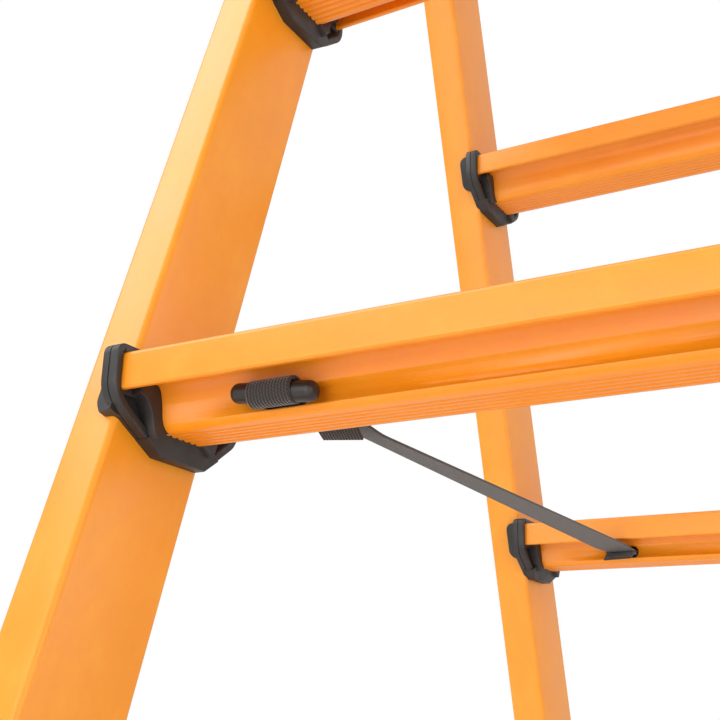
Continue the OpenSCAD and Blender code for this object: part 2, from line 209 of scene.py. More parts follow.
@dataclass(frozen=True)
class RungSection:
    """The extruded section of a rung, in millimetres below its tread.

    Attributes:
        tread_depth: depth of the tread, lip to lip.
        lip_height: height of each lip.
        tread_wall: wall of the tread and the lips.
        height: tread to underside.
        body_half: half the body's width under the tread.
        waist_half: half its width at the waist.
        under_half: half the width of the flat underside.
        groove_pitch: spacing of the grooves in the underside.
        body_wall: wall of the hollow body.
        groove: depth and half width of a groove.
        grips: distance of each grip groove in half a tread from the middle.
        grip_top: half a grip groove's width at the tread.
        grip_low: half its width at its bottom.
        grip_depth: its depth.
        nose: rounding of the tread's edge and size of the fillets under it.
        ease: chamfer of the lip's lower corners.
        steps: points on each of the body's two curves.
    """

    tread_depth: float = 78.0
    lip_height: float = 16.0
    tread_wall: float = 3.2
    height: float = 29.5
    body_half: float = 24.5
    waist_half: float = 17.2
    under_half: float = 10.4
    groove_pitch: float = 4.13
    body_wall: float = 2.6
    groove: float = 1.2
    grips: tuple[float, ...] = (4.0, 11.5, 19.0, 26.5)
    grip_top: float = 1.3
    grip_low: float = 0.8
    grip_depth: float = 0.6
    nose: float = 2.0
    ease: float = 0.7
    steps: int = 10

    @staticmethod
    def bend(a: float, b: float, c: float, d: float, t: float) -> float:
        """A point of a cubic curve through a and d, drawn by b and c."""
        u = 1 - t
        return u ** 3 * a + 3 * u * u * t * b + 3 * u * t * t * c + t ** 3 * d

    def body_side(self, grow: float) -> list[tuple[float, float]]:
        """The side of the hollow body: it sweeps in to a waist and rounds into the underside.

        Args:
            grow: how far outside the real surface the line runs.

        Returns:
            Points (y, z) from the tread down to the underside, on the +y side.
        """
        waist, g = self.waist_half, grow
        upper = ((self.body_half + g, -8.5 - g / 4), (waist + 1.4 + g, -10.5 - g / 4),
                 (waist + 1.2 + g, -14.0), (waist + g, -20.0))
        lower = ((waist + g, -20.0), (waist - 0.3 + g, -25.0),
                 (waist - 2.0 + g, -self.height - g), (self.under_half + g / 2, -self.height - g))
        line = []
        for part, first in ((upper, 0), (lower, 1)):
            for i in range(first, self.steps + 1):
                t = i / self.steps
                line.append(tuple(self.bend(*values, t) for values in zip(*part)))
        return line

    def tread_side(self) -> list[tuple[float, float]]:
        """Half the tread's top with its shallow grip grooves, then the lip, from the middle out."""
        half, low, nose, ease = self.tread_depth / 2, -self.lip_height, self.nose, self.ease
        inside = half - self.tread_wall
        line = [(0.0, 0.0)]
        for middle in self.grips:
            line += [(middle - self.grip_top, 0.0), (middle - self.grip_low, -self.grip_depth),
                     (middle + self.grip_low, -self.grip_depth), (middle + self.grip_top, 0.0)]
        for i in range(5):
            turn = math.pi / 2 * i / 4
            line.append((half - nose + nose * math.sin(turn), -nose + nose * math.cos(turn)))
        return line + [(half, low + ease), (half - ease, low), (inside + ease, low), (inside, low + ease),
                       (inside, -self.tread_wall - nose), (inside - nose, -self.tread_wall)]

    def outer(self) -> list[tuple[float, float]]:
        """The whole outside line of the section."""
        half = self.tread_side()
        half += [(self.body_half + self.nose, -self.tread_wall),
                 (self.body_half, -self.tread_wall - self.nose)]
        half += self.body_side(0)
        pitch = self.groove_pitch
        for i in (2, 1):
            half += [(pitch * i + self.groove, -self.height), (pitch * i, -self.height + self.groove),
                     (pitch * i - self.groove, -self.height)]
        half += [(self.groove, -self.height), (0.0, -self.height + self.groove)]
        return half + [(-y, z) for y, z in reversed(half[1:-1])]

    def inner(self) -> list[tuple[float, float]]:
        """The line of the hollow inside the body."""
        half = [(self.body_half - self.body_wall, -self.tread_wall)] + self.body_side(-self.body_wall)
        return half + [(-y, z) for y, z in reversed(half)]


LADDER = LadderFrame()
RUNG = RungSection()


# Finishes ---------------------------------------------------------------------------------


def srgb(code: str, alpha: float = 1.0) -> Rgba:
    """Turns a colour as seen on a screen into the linear one that shaders take.

    Args:
        code: six hex digits after a hash sign.
        alpha: opacity.

    Returns:
        Linear red, green, blue and alpha.
    """
    parts = [int(code[i:i + 2], 16) / 255 for i in (1, 3, 5)]
    linear = [c / 12.92 if c <= 0.04045 else ((c + 0.055) / 1.055) ** 2.4 for c in parts]
    return (*linear, alpha)


def add_node(tree: bpy.types.NodeTree, kind: str, settings: Optional[dict] = None,
             links: Optional[dict] = None) -> bpy.types.Node:
    """Adds one shader node.

    Args:
        tree: the material's node tree.
        kind: the node's type name.
        settings: attribute names, or input names and numbers, with their values; "stops" holds the
            positions and colours of a colour ramp, in order.
        links: input names or numbers with the output sockets that feed them.

    Returns:
        The new node.
    """
    node = tree.nodes.new(kind)
    for key, value in (settings or {}).items():
        if key == "stops":
            elements = node.color_ramp.elements
            while len(elements) < len(value):
                elements.new(0.5)
            for element, (position, colour) in zip(elements, value):
                element.position = position
                element.color = colour
        elif isinstance(key, str) and hasattr(node, key):
            setattr(node, key, value)
        else:
            node.inputs[key].default_value = value
    for key, socket in (links or {}).items():
        tree.links.new(socket, node.inputs[key])
    return node


class Finish:
    """A surface finish that makes its own material."""

    def shader(self, tree: bpy.types.NodeTree) -> bpy.types.Node:
        """Adds the nodes of the finish and returns its surface shader."""
        raise NotImplementedError

    def material(self, name: str) -> bpy.types.Material:
        """Makes the material.

        Args:
            name: what the finish really is.

        Returns:
            A material whose surface comes from shader().
        """
        made = bpy.data.materials.new(name)
        made.use_nodes = True
        tree = made.node_tree
        tree.nodes.clear()
        shader = self.shader(tree)
        add_node(tree, "ShaderNodeOutputMaterial", links={"Surface": shader.outputs[0]})
        return made


def grain_vector(tree: bpy.types.NodeTree, scale: tuple[float, float, float]) -> bpy.types.NodeSocket:
    """The piece's own coordinates in millimetres, z along its fibres, scaled for a pattern.

    Args:
        tree: the material's node tree.
        scale: cells per millimetre along each axis.

    Returns:
        A vector output.
    """
    grain = add_node(tree, "ShaderNodeAttribute", {"attribute_name": "grain"})
    scaled = add_node(tree, "ShaderNodeVectorMath", {"operation": "MULTIPLY", 1: scale},
                      {0: grain.outputs["Vector"]})
    return scaled.outputs["Vector"]


@dataclass(frozen=True)
class PultrudedFibreglass(Finish):
    """Glass fibre pulled through a die in dyed resin: satin, with faint lengthwise fibres.

    Attributes:
        colour: the dyed resin.
        deep: the resin where the surface veil is thin.
        pale: the resin over a bundle of fibres.
        roughness: typical of a satin gel surface.
    """

    colour: str = "#F49A18"
    deep: str = "#F09413"
    pale: str = "#F8A428"
    roughness: float = 0.36

    def shader(self, tree: bpy.types.NodeTree) -> bpy.types.Node:
        """Adds the nodes of the finish and returns its surface shader."""
        # bundles of glass fibre lie about 2 mm apart and run on for hand widths
        bundle = add_node(tree, "ShaderNodeTexNoise", {"Scale": 1.0, "Detail": 3.0, "Roughness": 0.55},
                          {"Vector": grain_vector(tree, (0.45, 0.45, 0.012))})
        # the veil of the skin clouds the resin over 20 mm or so
        cloud = add_node(tree, "ShaderNodeTexNoise", {"Scale": 1.0, "Detail": 4.0, "Roughness": 0.6},
                         {"Vector": grain_vector(tree, (0.05, 0.05, 0.035))})
        # pits and fibre ends, drawn at 0.7 mm so that they show
        pits = add_node(tree, "ShaderNodeTexNoise", {"Scale": 1.0, "Detail": 2.0, "Roughness": 0.7},
                        {"Vector": grain_vector(tree, (1.5, 1.5, 1.1))})
        mixed = add_node(tree, "ShaderNodeMath", {"operation": "MULTIPLY_ADD", 1: 0.12},
                         {0: bundle.outputs["Fac"], 2: cloud.outputs["Fac"]})
        tint = add_node(tree, "ShaderNodeValToRGB", {"stops": (
            (0.25, srgb(self.deep)), (0.55, srgb(self.colour)), (0.85, srgb(self.pale)))},
                        {"Fac": mixed.outputs[0]})
        speck = add_node(tree, "ShaderNodeMapRange", {"From Min": 0.45, "From Max": 0.75, "To Min": 0.0,
                                                      "To Max": 0.5}, {"Value": pits.outputs["Fac"]})
        base = add_node(tree, "ShaderNodeMix", {"data_type": "RGBA", 7: srgb(self.pale)},
                        {0: speck.outputs[0], 6: tint.outputs["Color"]})
        gloss = add_node(tree, "ShaderNodeMapRange", {"From Min": 0.3, "From Max": 0.7,
                                                      "To Min": self.roughness - 0.05,
                                                      "To Max": self.roughness + 0.07},
                         {"Value": cloud.outputs["Fac"]})
        fibres = add_node(tree, "ShaderNodeBump", {"Strength": 0.18, "Distance": 0.00012},
                          {"Height": bundle.outputs["Fac"]})
        skin = add_node(tree, "ShaderNodeBump", {"Strength": 0.25, "Distance": 0.00008},
                        {"Height": pits.outputs["Fac"], "Normal": fibres.outputs[0]})
        return add_node(tree, "ShaderNodeBsdfPrincipled",
                        {"IOR": 1.52, "Coat Weight": 0.12, "Coat Roughness": 0.22},
                        {"Base Color": base.outputs[2], "Roughness": gloss.outputs[0],
                         "Normal": skin.outputs[0]})


@dataclass(frozen=True)
class MouldedPolymer(Finish):
    """Injection-moulded plastic: an even spark-eroded grain, glossier where hands rub it.

    Attributes:
        colour: the plastic.
        worn: the same plastic where its grain is flattened.
        roughness: middle roughness.
        grit: spacing of the mould's grain in millimetres.
        depth: depth of the grain in metres.
        ior: index of refraction.
    """

    colour: str = "#232120"
    worn: str = "#2D2B2A"
    roughness: float = 0.5
    grit: float = 0.6
    depth: float = 0.00008
    ior: float = 1.53

    def shader(self, tree: bpy.types.NodeTree) -> bpy.types.Node:
        """Adds the nodes of the finish and returns its surface shader."""
        place = add_node(tree, "ShaderNodeTexCoord")
        grain = add_node(tree, "ShaderNodeTexNoise", {"Scale": 1 / (self.grit * MM), "Detail": 2.0},
                         {"Vector": place.outputs["Object"]})
        flow = add_node(tree, "ShaderNodeTexNoise", {"Scale": 90.0, "Detail": 3.0},
                        {"Vector": place.outputs["Object"]})
        tint = add_node(tree, "ShaderNodeValToRGB",
                        {"stops": ((0.35, srgb(self.colour)), (0.7, srgb(self.worn)))},
                        {"Fac": flow.outputs["Fac"]})
        gloss = add_node(tree, "ShaderNodeMapRange", {"From Min": 0.35, "From Max": 0.7,
                                                      "To Min": self.roughness + 0.05,
                                                      "To Max": self.roughness - 0.08},
                         {"Value": flow.outputs["Fac"]})
        bump = add_node(tree, "ShaderNodeBump", {"Strength": 0.35, "Distance": self.depth},
                        {"Height": grain.outputs["Fac"]})
        return add_node(tree, "ShaderNodeBsdfPrincipled", {"IOR": self.ior},
                        {"Base Color": tint.outputs["Color"], "Roughness": gloss.outputs[0],
                         "Normal": bump.outputs[0]})


@dataclass(frozen=True)
class WovenWebbing(Finish):
    """Polyester webbing: lengthwise cords with picks crossing them, matt and slightly fuzzy.

    Attributes:
        colour: the yarn.
        hollow: near black, painted shade in the gaps between cords and picks.
        cords: cords across the width of the webbing.
        width: width of the webbing in millimetres.
        pick: spacing of the picks in millimetres.
    """

    colour: str = "#37322D"
    hollow: str = "#0C0A09"
    cords: int = 14
    width: float = 20.0
    pick: float = 1.2

    def wave(self, tree: bpy.types.NodeTree, source: bpy.types.NodeSocket, pitch: float,
             shift: Optional[bpy.types.NodeSocket] = None) -> bpy.types.NodeSocket:
        """A smooth wave of 0 to 1 that repeats every pitch millimetres.

        Args:
            tree: the material's node tree.
            source: a position in millimetres.
            pitch: length of one wave.
            shift: an angle that is added to the wave's.

        Returns:
            The wave's value.
        """
        turn = add_node(tree, "ShaderNodeMath", {"operation": "MULTIPLY", 1: 2 * math.pi / pitch},
                        {0: source})
        angle = turn.outputs[0]
        if shift is not None:
            added = add_node(tree, "ShaderNodeMath", {"operation": "ADD"}, {0: angle, 1: shift})
            angle = added.outputs[0]
        sine = add_node(tree, "ShaderNodeMath", {"operation": "SINE"}, {0: angle})
        half = add_node(tree, "ShaderNodeMath", {"operation": "MULTIPLY_ADD", 1: 0.5, 2: 0.5},
                        {0: sine.outputs[0]})
        return half.outputs[0]

    def shader(self, tree: bpy.types.NodeTree) -> bpy.types.Node:
        """Adds the nodes of the finish and returns its surface shader."""
        grain = add_node(tree, "ShaderNodeAttribute", {"attribute_name": "grain"})
        split = add_node(tree, "ShaderNodeSeparateXYZ", links={0: grain.outputs["Vector"]})
        across, along = split.outputs[0], split.outputs[2]
        cord = self.wave(tree, across, self.width / self.cords)
        # neighbouring cords pass over and under the same pick
        half_turn = add_node(tree, "ShaderNodeMath",
                             {"operation": "MULTIPLY", 1: math.pi * self.cords / self.width}, {0: across})
        step = add_node(tree, "ShaderNodeMath", {"operation": "SINE"}, {0: half_turn.outputs[0]})
        sign = add_node(tree, "ShaderNodeMath", {"operation": "SIGN"}, {0: step.outputs[0]})
        shift = add_node(tree, "ShaderNodeMath", {"operation": "MULTIPLY", 1: math.pi / 2},
                         {0: sign.outputs[0]})
        pick = self.wave(tree, along, self.pick, shift.outputs[0])
        weave = add_node(tree, "ShaderNodeMath", {"operation": "MULTIPLY_ADD", 1: 0.45},
                         {0: pick, 2: cord})
        fuzz = add_node(tree, "ShaderNodeTexNoise", {"Scale": 1.0, "Detail": 3.0},
                        {"Vector": grain_vector(tree, (3.0, 3.0, 3.0))})
        height = add_node(tree, "ShaderNodeMath", {"operation": "MULTIPLY_ADD", 1: 0.4},
                          {0: fuzz.outputs["Fac"], 2: weave.outputs[0]})
        # painted shade: the colour falls towards near black where the weave is low, in its gaps; the fuzz
        # varies it at random
        tint = add_node(tree, "ShaderNodeValToRGB",
                        {"stops": ((0.25, srgb(self.hollow)), (1.3 / 1.6, srgb(self.colour)))},
                        {"Fac": height.outputs[0]})
        bump = add_node(tree, "ShaderNodeBump", {"Strength": 0.6, "Distance": 0.0004},
                        {"Height": height.outputs[0]})
        return add_node(tree, "ShaderNodeBsdfPrincipled",
                        {"Roughness": 0.82, "Sheen Weight": 0.45, "Sheen Roughness": 0.4},
                        {"Base Color": tint.outputs["Color"], "Normal": bump.outputs[0]})


@dataclass(frozen=True)
class WorkedMetal(Finish):
    """Bare metal with the marks of how it was made.

    Attributes:
        colour: the clean metal.
        dull: the metal where it has oxidised.
        roughness: middle roughness.
        grit: spacing of the surface marks in millimetres.
        depth: depth of the marks in metres.
    """

    colour: str = "#C9CACC"
    dull: str = "#A7A9AB"
    roughness: float = 0.4
    grit: float = 0.5
    depth: float = 0.00006

    def shader(self, tree: bpy.types.NodeTree) -> bpy.types.Node:
        """Adds the nodes of the finish and returns its surface shader."""
        place = add_node(tree, "ShaderNodeTexCoord")
        marks = add_node(tree, "ShaderNodeTexNoise", {"Scale": 1 / (self.grit * MM), "Detail": 3.0},
                         {"Vector": place.outputs["Object"]})
        bloom = add_node(tree, "ShaderNodeTexNoise", {"Scale": 120.0, "Detail": 4.0},
                         {"Vector": place.outputs["Object"]})
        tint = add_node(tree, "ShaderNodeValToRGB",
                        {"stops": ((0.35, srgb(self.dull)), (0.65, srgb(self.colour)))},
                        {"Fac": bloom.outputs["Fac"]})
        gloss = add_node(tree, "ShaderNodeMapRange", {"To Min": self.roughness - 0.08,
                                                      "To Max": self.roughness + 0.1},
                         {"Value": bloom.outputs["Fac"]})
        bump = add_node(tree, "ShaderNodeBump", {"Strength": 0.5, "Distance": self.depth},
                        {"Height": marks.outputs["Fac"]})
        return add_node(tree, "ShaderNodeBsdfPrincipled", {"Metallic": 1.0},
                        {"Base Color": tint.outputs["Color"], "Roughness": gloss.outputs[0],
                         "Normal": bump.outputs[0]})


@dataclass(frozen=True)
class Finishes:
    """The ladder's materials, one for each real one, and a darker copy of the resin for the rungs."""

    stile: bpy.types.Material
    rung: bpy.types.Material
    nylon: bpy.types.Material
    peg: bpy.types.Material
    webbing: bpy.types.Material
    rubber: bpy.types.Material
    casting: bpy.types.Material
    steel: bpy.types.Material
    rivet: bpy.types.Material

    @classmethod
    def make(cls) -> "Finishes":
        """Makes every material once."""
        return cls(
            # pulled through a polished die, so its faces carry a broad soft shine
            stile=PultrudedFibreglass().material("pultruded_glass_fibre_stile"),
            # the same resin, a little deeper all over: painted shade for the folds of the section
            rung=PultrudedFibreglass("#F59412", "#F18F0E", "#F99E22").material("pultruded_glass_fibre_rung_painted_shade"),
            # glass-filled and spark-eroded, so it is a dull charcoal with a grey edge light
            nylon=MouldedPolymer().material("glass_filled_nylon"),
            # turned rod, darker and smoother than the moulded brackets
            peg=MouldedPolymer("#191817", "#232120", 0.42, 0.9, 0.00004).material("turned_nylon_rod"),
            # ribbed along its length, matt with a faint fuzz
            webbing=WovenWebbing().material("woven_polyester_webbing"),
            # moulded rubber, almost without shine
            rubber=MouldedPolymer("#2E2E30", "#3B3B3D", 0.78, 0.8, 0.00012, 1.52).material("moulded_rubber"),
            # sand-cast and tumbled, so it glitters softly
            casting=WorkedMetal("#C4C6C9", "#A2A5A8", 0.46, 0.7, 0.00012).material("sand_cast_aluminium"),
            # zinc-plated, bright with a cloudy bloom
            steel=WorkedMetal("#CDD0D2", "#A9ADB2", 0.28, 0.35, 0.00003).material("zinc_plated_steel"),
            # drawn and plated, with dulled heads
            rivet=WorkedMetal("#BFC1C3", "#9A9C9F", 0.36, 0.4, 0.00004).material("plated_rivet_steel"),
        )


# Modelling --------------------------------------------------------------------------------


def as_given(height: float, a: float, b: float) -> tuple[float, float, float]:
    """An outline in (y, z) that is extruded along x."""
    return height, a, b


class Piece:
    """One visible piece while it is being modelled, in millimetres in a local frame."""

    def __init__(self, name: str) -> None:
        """Starts an empty piece."""
        self.name = name
        self.bm: BMesh = bmesh.new()

    def prism(self, outline: Outline, low: float, high: float,
              to_local: Callable[[float, float, float], tuple[float, float, float]] = as_given,
              ) -> list[BMVert]:
        """Extrudes a closed outline.

        Args:
            outline: the outline's corners.
            low: where the extrusion starts.
            high: where it ends.
            to_local: turns (height, a, b) into a local point.

        Returns:
            Every vertex of the new prism.
        """
        start = [self.bm.verts.new(to_local(low, a, b)) for a, b in outline]
        face = self.bm.faces.new(start)
        made = bmesh.ops.extrude_face_region(self.bm, geom=[face])["geom"]
        end = [v for v in made if isinstance(v, BMVert)]
        step = Vector(to_local(high, 0, 0)) - Vector(to_local(low, 0, 0))
        bmesh.ops.translate(self.bm, verts=end, vec=step)
        return start + end

    def spin(self, profile: Outline, steps: int) -> None:
        """Turns a line of (x, radius) points round the x axis.

        Args:
            profile: the line, which starts and ends on the axis or closes on itself.
            steps: faces round it.
        """
        verts = [self.bm.verts.new((x, r, 0)) for x, r in profile]
        edges = [self.bm.edges.new(pair) for pair in zip(verts, verts[1:])]
        bmesh.ops.spin(self.bm, geom=verts + edges, cent=(0, 0, 0), axis=(1, 0, 0),
                       angle=2 * math.pi, steps=steps, use_merge=True)
        self.close_up()

    def round_edges(self, chosen: Callable[[BMEdge], bool], radius: float, segments: int) -> None:
        """Rounds the edges that a test picks.

        Args:
            chosen: the test.
            radius: size of the rounding.
            segments: faces across it.
        """
        edges = [e for e in self.bm.edges if chosen(e)]
        if edges:
            bmesh.ops.bevel(self.bm, geom=edges, offset=radius, offset_type="OFFSET", segments=segments,
                            profile=0.5, affect="EDGES", clamp_overlap=True, material=-1)

    def add(self, part: "Piece", place: Matrix = Matrix.Identity(4), hollow: bool = False) -> None:
        """Takes over another piece's closed shell.

        Args:
            part: the other piece, which is used up.
            place: its local frame to this one's.
            hollow: turns the shell inside out, as the wall of a hollow.
        """
        part.close_up()
        if hollow:
            bmesh.ops.reverse_faces(part.bm, faces=part.bm.faces)
        bmesh.ops.transform(part.bm, matrix=place, verts=part.bm.verts)
        shell = bpy.data.meshes.new(part.name)
        part.bm.to_mesh(shell)
        part.bm.free()
        self.bm.from_mesh(shell)
        bpy.data.meshes.remove(shell)

    def close_up(self) -> None:
        """Merges doubled vertices and turns every face outwards."""
        bmesh.ops.remove_doubles(self.bm, verts=self.bm.verts, dist=1e-4)
        bmesh.ops.recalc_face_normals(self.bm, faces=self.bm.faces)

    def finish(self, place: Matrix, material: bpy.types.Material,
               smooth_below: float = 32.0) -> bpy.types.Object:
        """Puts the piece in the ladder's frame and makes its object.

        Args:
            place: local millimetres to ladder millimetres.
            material: its finish.
            smooth_below: edges that turn less than this, in degrees, are shaded smooth.

        Returns:
            The object, at the origin, with its place in its mesh.
        """
        bmesh.ops.transform(self.bm, matrix=Matrix.Scale(MM, 4) @ place, verts=self.bm.verts)
        if place.determinant() < 0:
            bmesh.ops.reverse_faces(self.bm, faces=self.bm.faces)
        limit = math.radians(smooth_below)
        open_edges = 0
        for edge in self.bm.edges:
            open_edges += len(edge.link_faces) != 2
            edge.smooth = len(edge.link_faces) == 2 and edge.calc_face_angle(0.0) < limit
        for face in self.bm.faces:
            face.smooth = True
        mesh = bpy.data.meshes.new(self.name)
        self.bm.to_mesh(mesh)
        self.bm.free()
        mesh.materials.append(material)
        made = bpy.data.objects.new(self.name, mesh)
        bpy.context.scene.collection.objects.link(made)
        log.info("%s: %d faces, %d open edges", self.name, len(mesh.polygons), open_edges)
        return made


def along_x(edge: BMEdge) -> bool:
    """True if an edge runs along x."""
    a, b = edge.verts
    return abs(a.co.y - b.co.y) < 1e-3 and abs(a.co.z - b.co.z) < 1e-3


def at_x(edge: BMEdge, x: float) -> bool:
    """True if both ends of an edge lie at that x."""
    return all(abs(v.co.x - x) < 1e-3 for v in edge.verts)


def lay_grain(made: bpy.types.Object, place: Matrix, axis: FibreAxis, shift: float) -> None:
    """Gives each vertex its local place in millimetres, with z along the fibres.

    Args:
        made: the finished piece.
        place: the frame that it was built in.
        axis: the local axis that the fibres run along.
        shift: moves the pattern, so that no two pieces look alike.
    """
    inverse = (Matrix.Scale(MM, 4) @ place).inverted()
    layer = made.data.attributes.new("grain", "FLOAT_VECTOR", "POINT")
    for vertex, value in zip(made.data.vertices, layer.data):
        x, y, z = inverse @ vertex.co
        value.vector = (y + shift, z, x) if axis is FibreAxis.X else (x + shift, y, z)


def carve(target: bpy.types.Object, cutter: bpy.types.Object) -> None:
    """Cuts one mesh out of another and removes the cutter.

    Args:
        target: the object that is cut.
        cutter: the shape that is taken away.
    """
    cut = target.modifiers.new("cut", "BOOLEAN")
    cut.operation, cut.object, cut.solver = "DIFFERENCE", cutter, "EXACT"
    graph = bpy.context.evaluated_depsgraph_get()
    result = bpy.data.meshes.new_from_object(target.evaluated_get(graph), depsgraph=graph)
    target.modifiers.clear()
    target.data = result
    bpy.data.objects.remove(cutter)


def body_of_node(node: str) -> str:
    """The name of the body that a measured node rides on."""
    parent = frame["nodes"][node].parent
    return next(name for name, empty in frame["bodies"].items() if empty == parent)


# Pieces -----------------------------------------------------------------------------------


@dataclass(frozen=True)
class Stile:
    """A box stile; both its ends sit inside a cap or a shoe.

    Attributes:
        radius: rounding of its long edges.
        above: how far it runs on above the hinge axis.
        below: how far above the floor its level cut is.
        spare: length past the floor that the level cut takes off.
        grain_step: shift of the fibre pattern from stile to stile.
    """

    radius: float = 3.0
    above: float = 46.0
    below: float = 15.0
    spare: float = 40.0
    grain_step: float = 310.0

    def build(self, section: Section, side: Side, material: bpy.types.Material) -> bpy.types.Object:
        """Makes one stile.

        Args:
            section: near or far.
            side: left or right.
            material: its finish.

        Returns:
            The stile.
        """
        name = f"{section.value}_{side.value}_stile"
        piece = Piece(f"{name}_bar")
        bm = piece.bm
        bottom = -LADDER.leg - self.spare
        size = (LADDER.stile_width, LADDER.stile_depth, self.above - bottom)
        bmesh.ops.create_cube(bm, size=1.0)
        bmesh.ops.scale(bm, vec=size, verts=bm.verts)
        middle = (-LADDER.stile_width / 2, -LADDER.pivot_out, (self.above + bottom) / 2)
        bmesh.ops.translate(bm, vec=middle, verts=bm.verts)
        piece.round_edges(lambda e: abs(e.verts[0].co.z - e.verts[1].co.z) > 100, self.radius, 5)
        up = Vector((0, -math.sin(LADDER.angle), math.cos(LADDER.angle)))
        cut = bmesh.ops.bisect_plane(bm, geom=bm.verts[:] + bm.edges[:] + bm.faces[:],
                                     plane_co=up * (self.below - LADDER.pivot_height), plane_no=up,
                                     clear_inner=True)
        bmesh.ops.holes_fill(bm, edges=[e for e in cut["geom_cut"] if isinstance(e, BMEdge)], sides=0)
        piece.close_up()
        place = LADDER.leaning(section, side)
        made = piece.finish(place, material)
        number = 1 + (section is Section.FAR) + 2 * (side is Side.RIGHT)
        lay_grain(made, place, FibreAxis.Z, self.grain_step * number)
        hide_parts(name)
        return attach(made, section.body)


@dataclass(frozen=True)
class Rung:
    """A hollow rung with a wide tread, two lips and a grooved underside.

    Attributes:
        end_gap: how far short of the stile it ends, inside its bracket.
        end_wall: wall that closes each end.
        slot_width: width of a strap slot.
        slot_height: height of a strap slot.
        slot_z: height of the slot's middle, from the tread.
        slot_reach: length of the cutter through the body.
        grain_step: shift of the fibre pattern from rung to rung.
        grain_far: further shift in the far section.
    """

    end_gap: float = 2.0
    end_wall: float = 0.5
    slot_width: float = 24.0
    slot_height: float = 8.0
    slot_z: float = -22.0
    slot_reach: float = 52.0
    grain_step: float = 170.0
    grain_far: float = 90.0

    def build(self, section: Section, number: int, material: bpy.types.Material) -> bpy.types.Object:
        """Makes one rung.

        Args:
            section: near or far.
            number: 1 for the lowest rung.
            material: its finish.

        Returns:
            The rung.
        """
        name = f"{section.value}_rung_{number}"
        piece = Piece(f"{name}_section")
        low, high = self.end_gap, LADDER.inner_width - self.end_gap
        piece.prism(RUNG.outer(), low, high)
        piece.close_up()
        hollow = Piece("hollow")
        hollow.prism(RUNG.inner(), low + self.end_wall, high - self.end_wall)
        piece.add(hollow, hollow=True)
        place = LADDER.level(section, Side.LEFT, number)
        made = piece.finish(place, material)
        if number == LADDER.strap_rung:
            for x in (STRAP.offset, LADDER.inner_width - STRAP.offset):
                carve(made, self.slot_cutter(place, x, material))
        shift = self.grain_step * number + self.grain_far * (section is Section.FAR)
        lay_grain(made, place, FibreAxis.X, shift)
        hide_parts(name)
        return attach(made, section.body)

    def slot_cutter(self, place: Matrix, x: float, material: bpy.types.Material) -> bpy.types.Object:
        """A round-ended bar where a strap goes through the rung.

        Args:
            place: the rung's frame.
            x: its distance from the left stile.
            material: the rung's finish.

        Returns:
            A cutter for carve().
        """
        piece = Piece("slot_cutter")
        bmesh.ops.create_cube(piece.bm, size=1.0)
        size = (self.slot_width, self.slot_reach, self.slot_height)
        bmesh.ops.scale(piece.bm, vec=size, verts=piece.bm.verts)
        bmesh.ops.translate(piece.bm, vec=(x, 0, self.slot_z), verts=piece.bm.verts)
        piece.round_edges(lambda e: abs(e.verts[0].co.y - e.verts[1].co.y) > 10, self.slot_height / 2 - 0.02, 6)
        piece.close_up()
        return piece.finish(place, material)


